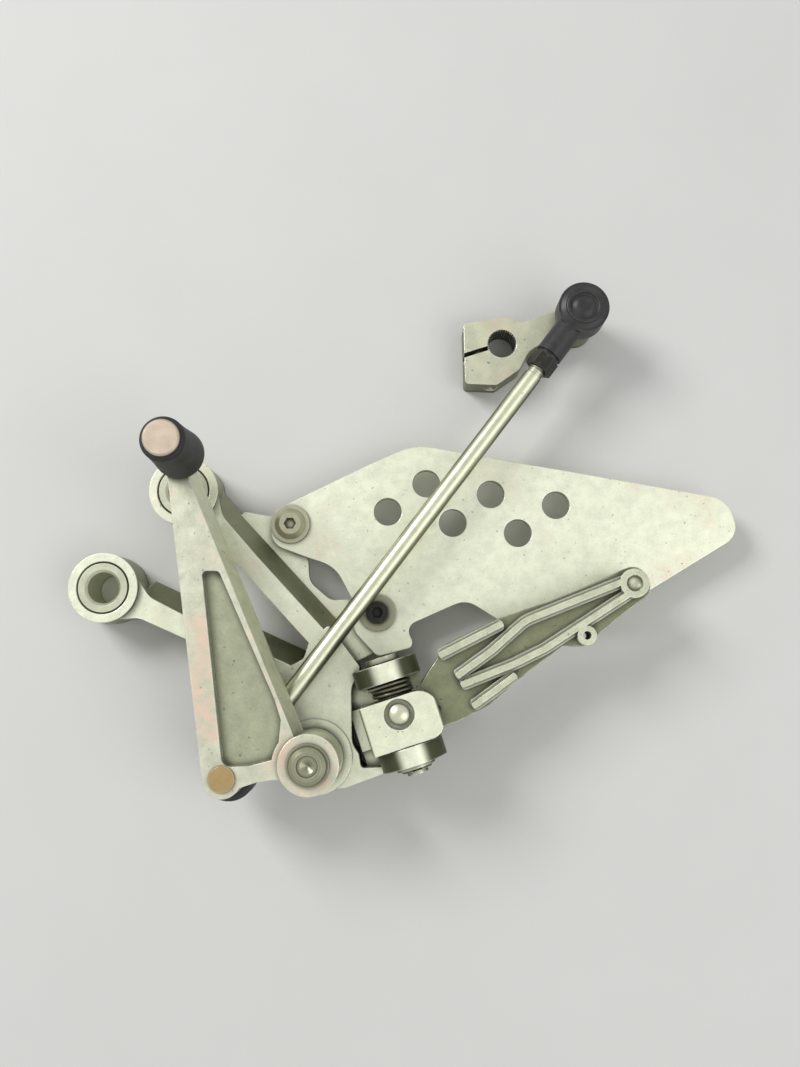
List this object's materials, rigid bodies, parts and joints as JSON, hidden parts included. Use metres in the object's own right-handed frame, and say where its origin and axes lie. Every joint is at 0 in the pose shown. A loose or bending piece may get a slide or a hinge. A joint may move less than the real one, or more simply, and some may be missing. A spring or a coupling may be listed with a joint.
{
  "type": "motorcycle footrest bracket",
  "caption": "Cast rear-set footrest bracket with two mounting eyes, drilled heel guard, gear pedal, ball-jointed shift rod, split spindle arm and folding footpeg.",
  "frame": {"origin": "centre of the front mounting eye's bolt hole at the bracket's back face", "axes": "+X to the rear of the motorcycle along the heel guard, +Y up, +Z outwards from the motorcycle, along both mounting holes"},
  "size_m": [0.2638, 0.1999, 0.0718],
  "materials": {
    "cast_alloy": "pale bead-blasted casting, lightly stained",
    "guard_alloy": "pale satin anodised plate with fine scratches",
    "collar_alloy": "turned aluminium with a thin dark joint",
    "pedal_alloy": "satin grey-olive casting with worn pale rims",
    "peg_alloy": "dull olive-grey sand-cast alloy",
    "knuckle_alloy": "bright machined casting",
    "arm_alloy": "pale cast arm with worn edges",
    "rod_steel": "satin plated rod",
    "bolt_steel": "dull zinc-plated steel",
    "black_steel": "black oxide",
    "yellow_zinc": "yellow passivated zinc",
    "spring_steel": "dull spring steel",
    "bush_bronze": "sintered bronze",
    "rod_end_black": "black moulded housing",
    "boot_rubber": "black rubber",
    "toe_rubber": "black rubber, slightly shiny"
  },
  "bodies": {
    "bracket": {"hanger": "cast_alloy", "front_eye_collar": "collar_alloy", "top_eye_collar": "collar_alloy", "heel_guard": "guard_alloy", "front_guard_bolt": "bolt_steel", "rear_guard_bolt": "black_steel", "rear_guard_washer": "bolt_steel", "pivot_bolt": "bolt_steel", "pivot_washer": "bolt_steel", "return_spring": "spring_steel"},
    "pedal": {"pedal": "pedal_alloy", "pivot_bush": "bush_bronze", "toe_peg_stem": "collar_alloy", "toe_peg_rubber": "toe_rubber", "lower_ball_stud": "yellow_zinc"},
    "rod": {"lower_rod_end": "rod_end_black", "lower_boot": "boot_rubber", "lower_jam_nut": "black_steel", "shift_rod": "rod_steel", "upper_jam_nut": "black_steel", "upper_rod_end": "rod_end_black", "upper_boot": "boot_rubber"},
    "spindle_arm": {"spindle_arm": "arm_alloy", "upper_ball_stud": "yellow_zinc"},
    "footpeg": {"peg_knuckle": "knuckle_alloy", "pin_lock_screw": "bolt_steel", "hinge_pin": "bolt_steel", "hinge_washer": "bolt_steel", "hinge_clip": "spring_steel", "footpeg": "peg_alloy", "footpeg_bolt": "black_steel"}
  },
  "joints": [
    {"name": "pedal_pivot", "type": "hinge", "parent": "bracket", "child": "pedal", "pos_m": [0.0832, -0.0648, 0.037], "axis": [0, 0, 1], "range_deg": [-12, 12]},
    {"name": "lower_ball", "type": "hinge", "parent": "pedal", "child": "rod", "pos_m": [0.0524, -0.0698, 0.022], "axis": [0, 0, 1], "range_deg": [-2, 30]},
    {"name": "upper_ball", "type": "hinge", "parent": "rod", "child": "spindle_arm", "pos_m": [0.18848, 0.11013, 0.022], "axis": [0, 0, 1], "range_deg": [-60, 15]},
    {"name": "footpeg_fold", "type": "hinge", "parent": "bracket", "child": "footpeg", "pos_m": [0.1156, -0.0473, 0.026], "axis": [0.309, -0.9511, 0], "range_deg": [0, 90]}
  ]
}
